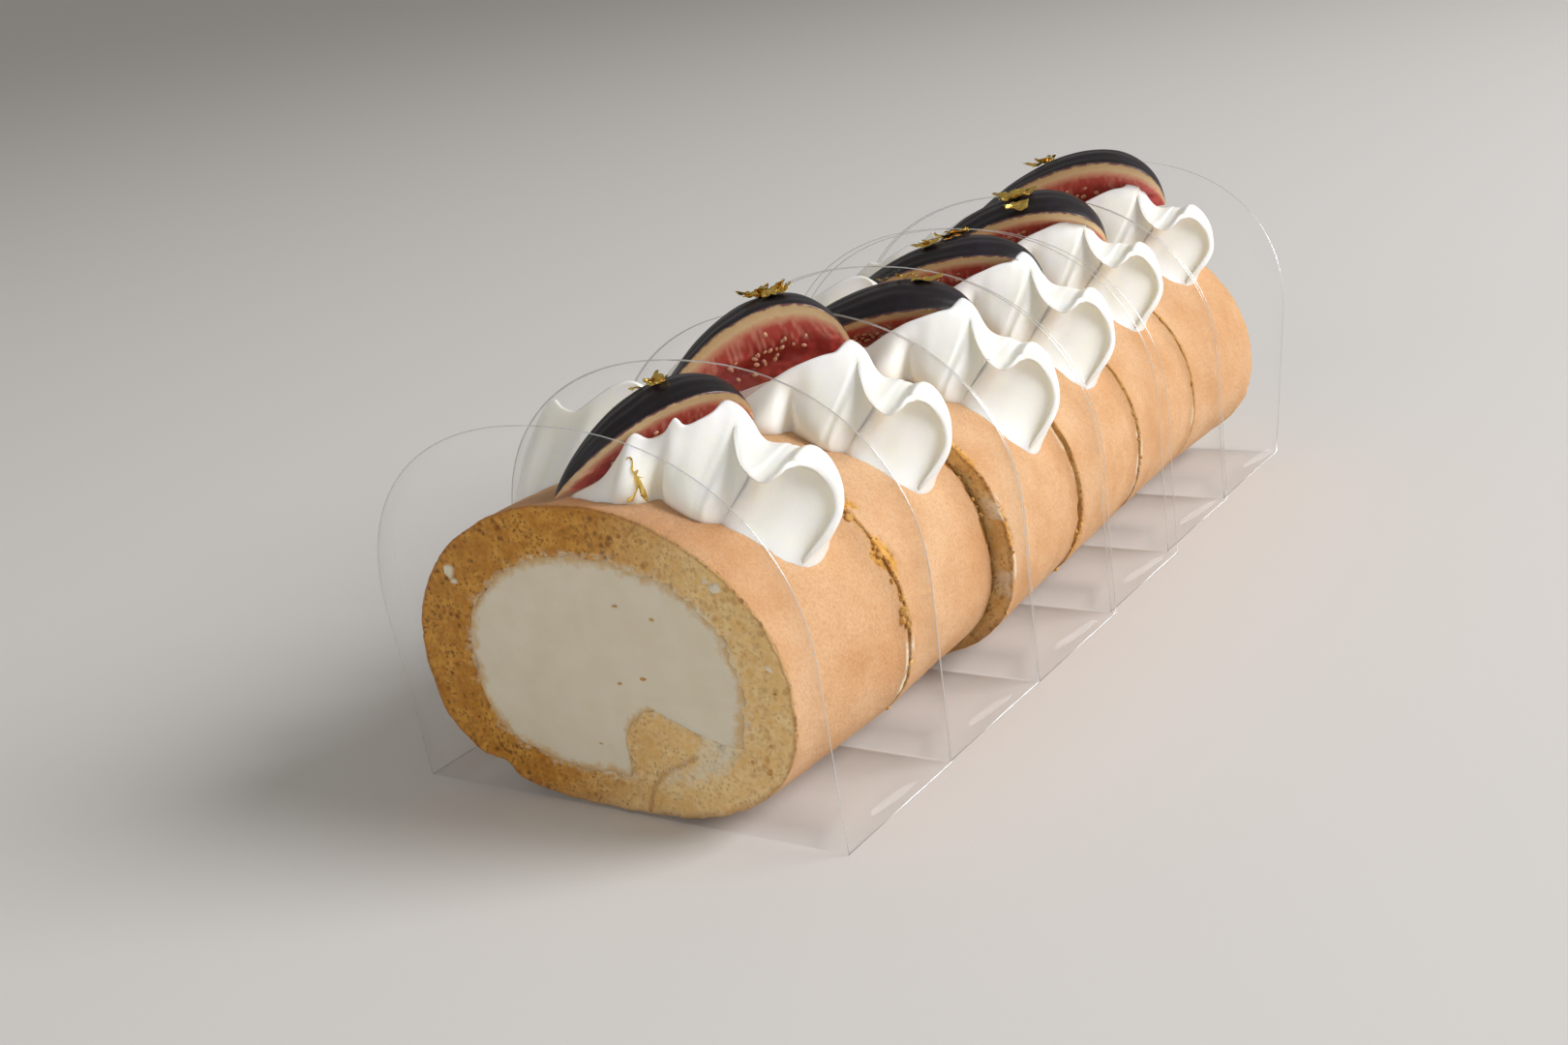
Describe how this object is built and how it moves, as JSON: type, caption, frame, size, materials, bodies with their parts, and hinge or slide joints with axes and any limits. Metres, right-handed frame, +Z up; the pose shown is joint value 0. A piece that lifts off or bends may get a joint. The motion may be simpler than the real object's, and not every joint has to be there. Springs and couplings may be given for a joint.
{
  "type": "swiss roll cake",
  "caption": "Cream-filled sponge roll cut into upright slices in clear U-shaped films, each topped with a piped cream ruffle and a fig wedge.",
  "frame": {"origin": "middle of the whole object's box, at its lowest point, where the films rest", "axes": "+Y along the roll, from the best-seen cut face at -Y to the far end; +Z up; +X to the right seen from the front"},
  "size_m": [0.1056, 0.2456, 0.0819],
  "materials": {
    "sponge": "matt baked sponge: fine tan skin outside, open golden crumb at the cuts",
    "filling_cream": "dense ivory whipped cream, knife-smoothed",
    "piped_cream": "smooth satin whipped cream, slightly translucent",
    "fig": "moist fig: dark purple-black skin, cream-coloured flesh ring, red seedy centre",
    "clear_film": "clear thin polyester film, glossy"
  },
  "bodies": {
    "root": {"sponge_1": "sponge", "filling_1": "filling_cream", "ruffle_1": "piped_cream", "dollop_1": "piped_cream", "fig_1": "fig", "film_1": "clear_film", "sponge_2": "sponge", "filling_2": "filling_cream", "ruffle_2": "piped_cream", "dollop_2": "piped_cream", "fig_2": "fig", "film_2": "clear_film", "sponge_3": "sponge", "filling_3": "filling_cream", "ruffle_3": "piped_cream", "dollop_3": "piped_cream", "fig_3": "fig", "film_3": "clear_film", "sponge_4": "sponge", "filling_4": "filling_cream", "ruffle_4": "piped_cream", "dollop_4": "piped_cream", "fig_4": "fig", "film_4": "clear_film", "sponge_5": "sponge", "filling_5": "filling_cream", "ruffle_5": "piped_cream", "dollop_5": "piped_cream", "fig_5": "fig", "film_5": "clear_film", "sponge_6": "sponge", "filling_6": "filling_cream", "ruffle_6": "piped_cream", "dollop_6": "piped_cream", "fig_6": "fig", "film_6": "clear_film"}
  },
  "joints": []
}
